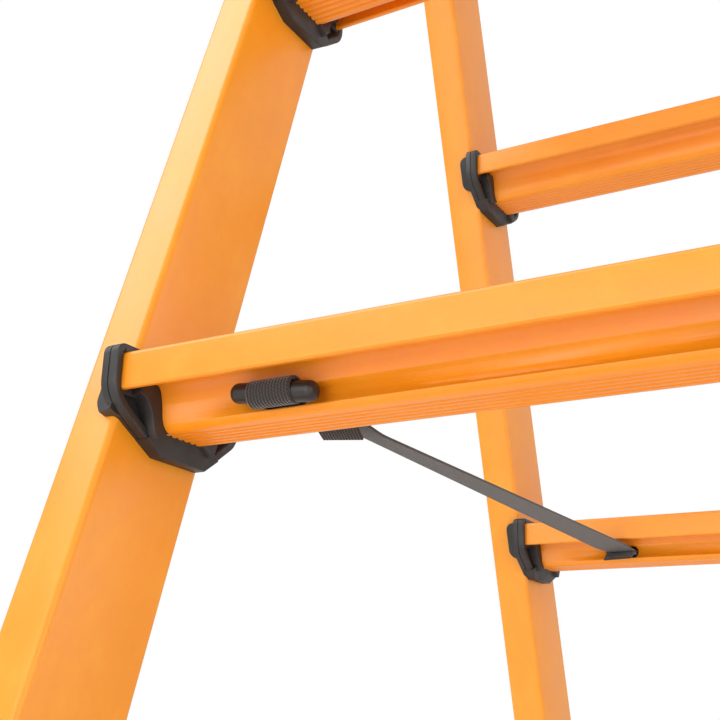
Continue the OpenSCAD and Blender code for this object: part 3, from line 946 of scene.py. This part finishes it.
@dataclass(frozen=True)
class RungBracket:
    """The moulded bracket that carries a rung end: collar, pockets, raised rims, foot and ears.

    Attributes:
        back: how far the collar reaches back beside the stile.
        front: how far it reaches along the rung.
        wall: wall of the collar.
        rim: width of the raised rims round the rung body.
        rim_front: how far the rims reach along the rung.
        foot_top: reach of the foot's upper edge along the rung.
        foot_low: reach of its lower edge.
        ear_thick: thickness of the ears.
        ear_flare: extra thickness of an ear where it meets the collar.
        ear_short: outline (x, z) of the ear away from the other section.
        ear_tall: outline of the ear towards it.
        groove: where along the rung the collar's groove starts and ends.
        groove_depth: its depth.
        floor_run: breadth of the sloping floor inside the collar.
        floor_drop: how far the floor slopes in.
        web_line: outline (y, z) of a web behind a lip.
        flare: where a rim spreads out under the tread.
        rim_from: height where a rim starts to follow the rung body.
        rim_to: height where it stops.
        rim_bite: how far a rim runs into the rung body.
        foot_line: outline (y, z) of the foot.
    """

    back: float = -2.0
    front: float = 6.5
    wall: float = 3.7
    rim: float = 6.0
    rim_front: float = 10.4
    foot_top: float = 9.0
    foot_low: float = 6.3
    ear_thick: float = 3.2
    ear_flare: float = 2.6
    ear_short: Outline = ((1.4, 8.0), (-8.0, 6.0), (-10.5, 3.0), (-10.5, -7.0), (-7.0, -13.0),
                          (1.4, -13.0))
    ear_tall: Outline = ((1.4, 15.6), (-7.4, 15.2), (-9.9, 12.0), (-9.9, -6.5), (-7.0, -10.5),
                         (1.4, -12.0))
    groove: tuple[float, float] = (1.7, 2.3)
    groove_depth: float = 0.45
    floor_run: float = 3.1
    floor_drop: float = 3.6
    web_line: Outline = ((39.4, -2.0), (39.4, -16.6), (37.0, -17.6), (25.0, -17.6), (20.0, -12.0),
                         (20.0, -2.0))
    flare: Outline = ((31.0, -12.0), (31.0, -16.4), (28.6, -16.9), (26.4, -18.2), (24.8, -20.2))
    rim_from: float = -22.0
    rim_to: float = -33.5
    rim_bite: float = 1.2
    foot_line: Outline = ((-10.6, -38.6), (19.6, -38.9), (27.9, -32.6), (17.5, -27.2), (-16.5, -27.2),
                          (-20.9, -33.0))

    def build(self, section: Section, side: Side, number: int,
              material: bpy.types.Material) -> bpy.types.Object:
        """Makes one bracket.

        Args:
            section: near or far.
            side: left or right.
            number: the rung that it carries.
            material: its finish.

        Returns:
            The bracket.
        """
        piece = Piece(f"{section.value}_{side.value}_bracket_{number}")
        for part in (self.collar(), *self.webs(), *self.rims(), self.foot()):
            piece.add(part)
        tilt = Matrix.Translation((0, 0, -LADDER.tread_up)) @ Matrix.Rotation(-LADDER.angle, 4, "X")
        for end in (-1, 1):
            piece.add(self.ear_part(end), tilt)
        made = piece.finish(LADDER.level(section, side, number), material, 36)
        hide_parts(f"{section.value}_{side.value}_brackets")
        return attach(made, section.body)

    def collar(self) -> Piece:
        """Makes the collar with the groove round it and the sloping floor inside it."""
        side = RUNG.tread_depth / 2 + self.wall
        corners = (((-side, self.wall), 4.6), ((side, self.wall), 4.6), ((side, -21.5), 6.2),
                   ((19.5, -38.6), 2.5), ((-10.5, -38.3), 2.5), ((-32.5, -26.6), 5.5), ((-side, -18.0), 5.5))
        piece = Piece("collar")
        bm = piece.bm
        piece.prism([place for place, _ in corners], self.back, self.front)
        piece.close_up()
        for corner, radius in corners:
            piece.round_edges(lambda e, c=corner: along_x(e) and (e.verts[0].co.yz - Vector(c)).length < 1e-2,
                              radius, 5)
        low, high = self.groove
        for x in self.groove:
            bmesh.ops.bisect_plane(bm, geom=bm.verts[:] + bm.edges[:] + bm.faces[:], plane_co=(x, 0, 0),
                                   plane_no=(1, 0, 0))
        band = [f for f in bm.faces if low < f.calc_center_median().x < high and abs(f.normal.x) < 0.5]
        bmesh.ops.inset_region(bm, faces=band, thickness=0.15, depth=-self.groove_depth,
                               use_even_offset=True)
        end = max(bm.faces, key=lambda f: f.calc_center_median().x)
        bmesh.ops.inset_region(bm, faces=[end], thickness=self.wall - 0.3, depth=0.0, use_even_offset=True)
        bmesh.ops.inset_region(bm, faces=[end], thickness=self.floor_run, depth=-self.floor_drop,
                               use_even_offset=True)
        piece.round_edges(lambda e: (at_x(e, self.front) or at_x(e, self.back))
                          and e.calc_face_angle(0.0) > 0.5, 0.7, 3)
        return piece

    def webs(self) -> list[Piece]:
        """Makes the webs behind the lips that roof the two pockets."""
        made = []
        for end in (-1, 1):
            piece = Piece("web")
            reach = self.front - 0.9
            piece.prism([(end * y, z) for y, z in self.web_line], 1.0, reach)
            piece.round_edges(lambda e: at_x(e, reach), 0.6, 2)
            made.append(piece)
        return made

    def rims(self) -> list[Piece]:
        """Makes the raised rim that follows each side of the rung body."""
        made = []
        for end in (-1, 1):
            piece = Piece("rim")
            body = [(y, z) for y, z in RUNG.body_side(self.rim) if self.rim_to < z < self.rim_from]
            outer = [(end * y, z) for y, z in (*self.flare, *body)]
            inner = [(end * y, z) for y, z in RUNG.body_side(-self.rim_bite) if z < -10.0]
            piece.prism(outer + list(reversed(inner)), 1.0, self.rim_front)
            piece.round_edges(lambda e: at_x(e, self.rim_front), 1.0, 3)
            made.append(piece)
        return made

    def foot(self) -> Piece:
        """Makes the thick foot under the rung, whose end face slopes back as it goes down."""
        piece = Piece("foot")
        for v in piece.prism(self.foot_line, 0.0, self.foot_top):
            if v.co.x > 1 and v.co.z < -38:
                v.co.x = self.foot_low
            elif v.co.x > 1 and v.co.z < -32:
                v.co.x = (2 * self.foot_top + 3 * self.foot_low) / 5
        piece.round_edges(lambda e: min(v.co.x for v in e.verts) > 1, 0.7, 3)
        return piece

    def ear_part(self, end: int) -> Piece:
        """Makes one ear, which holds the bracket over the front or the back of the stile.

        Args:
            end: -1 for the face away from the other section, 1 for the one towards it.

        Returns:
            The ear, in a frame that leans with the stile about the middle of the rung.
        """
        piece = Piece("ear")
        level = end * LADDER.stile_depth / 2 * math.tan(LADDER.angle)
        line = self.ear_tall if end > 0 else self.ear_short
        face = end * LADDER.stile_depth / 2
        made = piece.prism([(x, z + level) for x, z in line], face - end * 0.4, face + end * self.ear_thick,
                           lambda height, a, b: (a, height, b))
        for v in made:
            if abs(v.co.y) > LADDER.stile_depth / 2 + 1 and v.co.x > 1:
                v.co.y += end * self.ear_flare
        piece.close_up()
        piece.round_edges(lambda e: abs(e.verts[0].co.y - e.verts[1].co.y) > 2 and e.verts[0].co.x < -4
                          and abs(e.verts[0].co.x - e.verts[1].co.x) < 1e-3, 2.2, 4)
        piece.round_edges(lambda e: all(abs(v.co.y) > LADDER.stile_depth / 2 + 1 for v in e.verts), 1.0, 3)
        return piece


@dataclass(frozen=True)
class Peg:
    """A round-ended peg that holds a strap's loop on the outer side of a rung.

    Attributes:
        radius: half its thickness.
        length: its whole length.
        nose: length of each rounded end.
        blunt: power of the rounded end's curve; lower is blunter.
        out: distance from the middle of the rung.
        tilt: how far it hangs out of level, in degrees.
    """

    radius: float = 4.25
    length: float = 40.0
    nose: float = 3.6
    blunt: float = 0.8
    out: float = 23.75
    tilt: float = 5.2

    def build(self, section: Section, side: Side, material: bpy.types.Material) -> bpy.types.Object:
        """Makes one peg.

        Args:
            section: near or far.
            side: left or right.
            material: its finish.

        Returns:
            The peg.
        """
        name = f"{section.value}_{side.value}_peg"
        piece = Piece(f"{name}_turned")
        nose = []
        for i in range(9):
            turn = math.pi / 2 * i / 8
            nose.append((-self.length / 2 + self.nose * (1 - math.cos(turn)),
                         self.radius * math.sin(turn) ** self.blunt))
        piece.spin(nose + [(-x, r) for x, r in reversed(nose)], 40)
        place = LADDER.level(section, side, LADDER.strap_rung)
        place = place @ Matrix.Translation((STRAP.offset, -self.out, STRAP.height))
        made = piece.finish(place @ Matrix.Rotation(math.radians(self.tilt), 4, "Y"), material)
        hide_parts(name)
        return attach(made, section.body)


@dataclass(frozen=True)
class RestraintStrap:
    """The webbing that keeps the sections from spreading: a band with a loop at each end.

    Attributes:
        offset: distance from the stile to its middle.
        height: height of its middle, from the tread.
        width: width of the webbing.
        thick: thickness of the webbing.
        cords: ribs across its width.
        gap: room between the two layers where the loop goes through the rung.
        dip: depth of the furrows between the ribs.
        tail: length of the sewn tail that shows behind the rung.
        droop: how far the tail's cut end hangs below the band.
        twist_near: turn of the band just behind the near rung, in degrees.
        twist_far: turn just before the far rung.
        settle: length over which the band turns flat before it enters a rung.
        spacing: spacing of the points along the band.
    """

    offset: float = 72.0
    height: float = -22.0
    width: float = 20.0
    thick: float = 1.4
    cords: int = 14
    gap: float = 0.1
    dip: float = 0.2
    tail: float = 13.0
    droop: float = 5.5
    twist_near: float = 18.0
    twist_far: float = -7.0
    settle: float = 34.0
    spacing: float = 1.6

    def ring(self) -> list[tuple[float, float]]:
        """The webbing's section, with a rounded rib for each cord."""
        pitch, half, dip = self.width / self.cords, self.thick / 2, self.dip
        top = []
        for i in range(self.cords):
            left = -self.width / 2 + i * pitch
            for share, drop in ((0.0, dip), (0.2, dip * 0.3), (0.5, 0.0), (0.8, dip * 0.3)):
                top.append((left + share * pitch, half - drop))
        top.append((self.width / 2, half - dip))
        return top + [(a, -b) for a, b in reversed(top)]

    def half_loop(self) -> list[tuple[float, float]]:
        """The line from the middle of the peg's outer side to where the upper layer runs level.

        Returns:
            Points (distance outwards from the rung's middle, height above the strap's middle).
        """
        reach = PEG.radius + self.thick / 2 + 0.15
        layer = (self.thick + self.gap) / 2
        mouth = RUNG.waist_half
        away = math.hypot(PEG.out - mouth, layer)
        touch = math.acos(reach / away)
        line = []
        for i in range(17):
            turn = math.pi + (touch - math.pi) * i / 16
            line.append((PEG.out - reach * math.cos(turn), reach * math.sin(turn)))
        line += [(mouth + 1.2, layer + 1.1), (mouth - 0.4, layer + 0.15), (mouth - 2, layer), (0, layer)]
        return line

    def path(self, near_y: float) -> list[tuple[float, float]]:
        """The whole line of the webbing, sewn tail to sewn tail.

        Args:
            near_y: y of the near strap rung.

        Returns:
            Points (y, height above the strap's middle).
        """
        layer = (self.thick + self.gap) / 2
        loop = self.half_loop()
        end = near_y + RUNG.waist_half + self.tail
        near = [(end, -layer - self.droop), (end - 4, -layer - 0.6 * self.droop), (end - 9, -layer - 0.1),
                (near_y, -layer)]
        near += [(near_y - out, -up) for out, up in reversed(loop[1:-1])]
        near += [(near_y - out, up) for out, up in loop]
        line = near + [(-y, up) for y, up in reversed(near)]
        return self.evened(line)

    def evened(self, line: list[tuple[float, float]]) -> list[tuple[float, float]]:
        """Spreads points evenly along a line and rounds its corners.

        Args:
            line: the corners.

        Returns:
            The new points.
        """
        points = [Vector(line[0])]
        for a, b in zip(line, line[1:]):
            start, leg = Vector(a), Vector(b) - Vector(a)
            count = max(1, round(leg.length / self.spacing))
            points += [start + leg * (i + 1) / count for i in range(count)]
        for _ in range(3):
            inner = [(a + 2 * b + c) / 4 for a, b, c in zip(points, points[1:], points[2:])]
            points = [points[0], *inner, points[-1]]
        return [(p.x, p.y) for p in points]

    def twist(self, y: float, near_y: float) -> float:
        """The band's turn about its own length.

        Args:
            y: where along the ladder.
            near_y: y of the near strap rung.

        Returns:
            The turn in radians.
        """
        inside = -near_y - RUNG.waist_half
        share = (y + inside) / (2 * inside)
        turn = self.twist_near + (self.twist_far - self.twist_near) * share
        ease = min(1.0, max(0.0, (inside - abs(y)) / self.settle))
        return math.radians(turn) * ease * ease * (3 - 2 * ease)

    def build(self, side: Side, material: bpy.types.Material) -> bpy.types.Object:
        """Makes one strap.

        Args:
            side: left or right.
            material: its finish.

        Returns:
            The strap.
        """
        name = f"{side.value}_strap"
        piece = Piece(f"{name}_webbing")
        bm = piece.bm
        grain = bm.verts.layers.float_vector.new("grain")
        near_y, tread = LADDER.tread(LADDER.strap_rung)
        points = self.path(near_y)
        frames, run = [], [0.0]
        for i, (y, up) in enumerate(points):
            before, after = points[max(0, i - 1)], points[min(len(points) - 1, i + 1)]
            if i:
                run.append(run[-1] + math.dist(points[i - 1], (y, up)))
            turn = self.twist(y, near_y)
            across = Vector((math.cos(turn), 0, -math.sin(turn)))
            lift = Vector((math.sin(turn), 0, math.cos(turn)))
            ahead = (Vector((0, after[0] - before[0], 0)) + lift * (after[1] - before[1])).normalized()
            out = across.cross(ahead)
            middle = Vector((self.offset, y, tread + self.height)) + lift * up
            frames.append(Matrix((across, out, ahead)).transposed().to_4x4())
            frames[-1].translation = middle
        first = [bm.verts.new(frames[0] @ Vector((a, b, 0))) for a, b in self.ring()]
        for v, (a, b) in zip(first, self.ring()):
            v[grain] = (a + self.width, b, 0)
        cap = bm.faces.new(first)
        for i in range(1, len(frames)):
            made = bmesh.ops.extrude_face_region(bm, geom=[cap])["geom"]
            verts = [v for v in made if isinstance(v, BMVert)]
            cap = next(f for f in made if isinstance(f, BMFace) and len(f.verts) == len(first))
            bmesh.ops.transform(bm, matrix=frames[i] @ frames[i - 1].inverted(), verts=verts)
            for v in verts:
                v[grain] = (v[grain].x, v[grain].y, run[i])
        piece.close_up()
        made = piece.finish(LADDER.side(Section.NEAR, side), material, 75)
        log.info("%s: %.0f mm of webbing", name, run[-1])
        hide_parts(name)
        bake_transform(made)
        return made


@dataclass(frozen=True)
class Refined:
    """A measured part whose shape is kept, with its facets joined and its edges softened.

    Attributes:
        node: the measured part.
        slot: the record's slot for its finish; not used.
        soften: rounding of its edges in millimetres.
        sharp: edges that turn more than this, in degrees, are rounded.
        flat: facets that turn less than this, in degrees, are joined.
    """

    node: str
    slot: str
    soften: float
    sharp: float = 35.0
    flat: float = 0.8

    def build(self, material: bpy.types.Material) -> bpy.types.Object:
        """Makes the softened part.

        Args:
            material: its finish.

        Returns:
            The part.
        """
        piece = Piece(f"{self.node}_softened")
        bm = piece.bm
        bm.from_mesh(frame["nodes"][self.node].data)
        bmesh.ops.scale(bm, vec=(1 / MM, 1 / MM, 1 / MM), verts=bm.verts)
        bmesh.ops.remove_doubles(bm, verts=bm.verts, dist=1e-3)
        bmesh.ops.dissolve_limit(bm, angle_limit=math.radians(self.flat), verts=bm.verts, edges=bm.edges)
        piece.round_edges(lambda e: len(e.link_faces) == 2
                          and e.calc_face_angle(0.0) > math.radians(self.sharp), self.soften, 2)
        made = piece.finish(Matrix.Identity(4), material, 30)
        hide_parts(self.node)
        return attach(made, body_of_node(self.node))


STRAP = RestraintStrap()
PEG = Peg()


# Surroundings -----------------------------------------------------------------------------


@dataclass(frozen=True)
class SoftLamp:
    """A square soft light that looks at the middle of the ladder.

    Attributes:
        name: what it is called.
        place: where it stands, in metres.
        size: its side, in metres.
        watts: its power.
        gloss: how much of it shows in reflections.
        target: what it looks at, in metres.
    """

    name: str
    place: tuple[float, float, float]
    size: float
    watts: float
    gloss: float
    target: tuple[float, float, float] = (0.0, -0.2, 1.05)

    def build(self) -> None:
        """Makes the light."""
        data = bpy.data.lights.new(self.name, "AREA")
        data.size, data.energy, data.specular_factor = self.size, self.watts, self.gloss
        lamp = bpy.data.objects.new(self.name, data)
        lamp.location = self.place
        aim = Vector(self.target) - Vector(self.place)
        lamp.rotation_euler = aim.to_track_quat("-Z", "Y").to_euler()
        bpy.context.scene.collection.objects.link(lamp)


@dataclass(frozen=True)
class Studio:
    """The floor, the soft lights and the white surroundings.

    Attributes:
        ambient: strength of the light that comes from all round.
        mirrored: brightness of the surroundings in reflections.
        floor_radius: radius of the floor in metres.
        lamps: the soft lights.
    """

    ambient: float = 0.4
    mirrored: float = 0.7
    floor_radius: float = 12.0
    lamps: tuple[SoftLamp, ...] = (
        SoftLamp("key", (-1.72, -1.45, 3.75), 2.4, 58.0, 1.0),
        SoftLamp("fill", (2.6, -1.7, 1.5), 2.0, 27.0, 1.0),
        SoftLamp("front", (-0.6, -3.0, 1.5), 2.2, 30.0, 0.15),
        SoftLamp("back", (2.4, 1.3, 1.9), 1.6, 15.0, 0.5),
        SoftLamp("low", (0.2, -2.4, 0.45), 1.6, 8.0, 0.5),
    )

    def build(self) -> None:
        """Makes the floor, the world and the lights."""
        self.floor()
        self.world()
        for lamp in self.lamps:
            lamp.build()

    def floor(self) -> None:
        """Makes the pale floor."""
        bm = bmesh.new()
        bmesh.ops.create_circle(bm, cap_ends=True, segments=96, radius=self.floor_radius)
        mesh = bpy.data.meshes.new("floor")
        bm.to_mesh(mesh)
        bm.free()
        made = bpy.data.objects.new("floor", mesh)
        bpy.context.scene.collection.objects.link(made)
        material = bpy.data.materials.new("pale_floor")
        material.use_nodes = True
        tree = material.node_tree
        tree.nodes.clear()
        # pale painted board; a little light of its own keeps it pale far from the lamps
        shader = add_node(tree, "ShaderNodeBsdfPrincipled",
                          {"Base Color": srgb("#ECEBE9"), "Roughness": 0.8,
                           "Emission Color": srgb("#FFFFFF"), "Emission Strength": 0.28})
        add_node(tree, "ShaderNodeOutputMaterial", links={"Surface": shader.outputs[0]})
        mesh.materials.append(material)

    def world(self) -> None:
        """Makes surroundings that look white and light the ladder evenly."""
        world = bpy.data.worlds.new("studio")
        bpy.context.scene.world = world
        world.use_nodes = True
        tree = world.node_tree
        tree.nodes.clear()
        seen = add_node(tree, "ShaderNodeBackground", {"Color": (1, 1, 1, 1), "Strength": 1.0})
        mirrored = add_node(tree, "ShaderNodeBackground", {"Color": (1, 1, 1, 1), "Strength": self.mirrored})
        light = add_node(tree, "ShaderNodeBackground", {"Color": (1, 1, 1, 1), "Strength": self.ambient})
        path = add_node(tree, "ShaderNodeLightPath")
        soft = add_node(tree, "ShaderNodeMixShader", links={0: path.outputs["Is Glossy Ray"],
                                                            1: light.outputs[0], 2: mirrored.outputs[0]})
        both = add_node(tree, "ShaderNodeMixShader", links={0: path.outputs["Is Camera Ray"],
                                                            1: soft.outputs[0], 2: seen.outputs[0]})
        add_node(tree, "ShaderNodeOutputWorld", links={"Surface": both.outputs[0]})


@dataclass(frozen=True)
class Viewpoint:
    """The camera, given from the inner face of the near left stile at the strap rung.

    Attributes:
        lens: focal length in millimetres on a 36 mm sensor.
        yaw: turn to the left, in degrees.
        pitch: upward tilt, in degrees.
        roll: turn about its own axis, in degrees.
        away: its place from that point, in millimetres.
    """

    lens: float = 54.75
    yaw: float = 30.45
    pitch: float = 18.27
    roll: float = -1.5
    away: tuple[float, float, float] = (308.0, -360.0, -143.0)

    def build(self) -> bpy.types.Object:
        """Makes the camera and returns it."""
        yaw, pitch, roll = (math.radians(a) for a in (self.yaw, self.pitch, self.roll))
        ahead = Vector((-math.sin(yaw) * math.cos(pitch), math.cos(yaw) * math.cos(pitch), math.sin(pitch)))
        right = Vector((math.cos(yaw), math.sin(yaw), 0))
        down = -right.cross(ahead)
        turned = right * math.cos(roll) + down * math.sin(roll)
        under = down * math.cos(roll) - right * math.sin(roll)
        y, z = LADDER.tread(LADDER.strap_rung)
        eye = Vector((-LADDER.inner_width / 2, y, z)) + Vector(self.away)
        data = bpy.data.cameras.new("camera")
        data.lens, data.sensor_width = self.lens, 36.0
        data.clip_start = 0.01
        camera = bpy.data.objects.new("camera", data)
        facing = Matrix((turned, -under, -ahead)).transposed().to_4x4()
        camera.matrix_world = Matrix.Translation(eye * MM) @ facing
        bpy.context.scene.collection.objects.link(camera)
        bpy.context.scene.camera = camera
        return camera


# Assembly ---------------------------------------------------------------------------------


class Ladder:
    """The whole ladder: both sections, the hinges and the straps."""

    def __init__(self, finishes: Finishes) -> None:
        """Keeps the finishes that its pieces take."""
        self.finishes = finishes

    def build(self) -> None:
        """Makes every visible piece."""
        for section in Section:
            self.section(section)
        for side in Side:
            STRAP.build(side, self.finishes.webbing)
        for node, soften in (("hinge_bolts", 0.7), ("hinge_washers", 0.25), ("hinge_nuts", 0.6)):
            Refined(node, "bolt_steel", soften, 50.0).build(self.finishes.steel)

    def section(self, section: Section) -> None:
        """Makes one section.

        Args:
            section: near or far.
        """
        look, name = self.finishes, section.value
        for side in Side:
            Stile().build(section, side, look.stile)
            for number in range(1, LADDER.rungs + 1):
                RungBracket().build(section, side, number, look.nylon)
            PEG.build(section, side, look.peg)
            end = f"{name}_{side.value}"
            Refined(f"{end}_cap", "bracket_nylon", 0.8).build(look.nylon)
            Refined(f"{end}_shoe", "bracket_nylon", 0.8).build(look.nylon)
            Refined(f"{end}_sole", "sole_rubber", 0.6).build(look.rubber)
            Refined(f"{end}_hinge", "hinge_casting", 0.6).build(look.casting)
        for number in range(1, LADDER.rungs + 1):
            Rung().build(section, number, look.rung)
        Refined(f"{name}_rung_rivets", "rivet_steel", 0.8, 60.0).build(look.rivet)
        Refined(f"{name}_hinge_rivets", "rivet_steel", 0.8, 60.0).build(look.rivet)
        plugs = frame["nodes"][f"{name}_rung_plugs"]
        for held in plugs.material_slots:
            held.material = look.nylon
        log.info("%s: measured shape kept", plugs.name)


def corners(box: tuple[Vector, Vector]) -> list[list[float]]:
    """A box's two corners as plain lists."""
    return [list(corner) for corner in box]


def main() -> None:
    """Builds the ladder in its surroundings."""
    logging.basicConfig(level=logging.INFO, format="%(name)s: %(message)s")
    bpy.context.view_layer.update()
    bpy.context.scene.view_settings.view_transform = "Standard"
    Viewpoint().build()
    Studio().build()
    Ladder(Finishes.make()).build()
    bpy.context.view_layer.update()


if __name__ == "__main__":
    main()
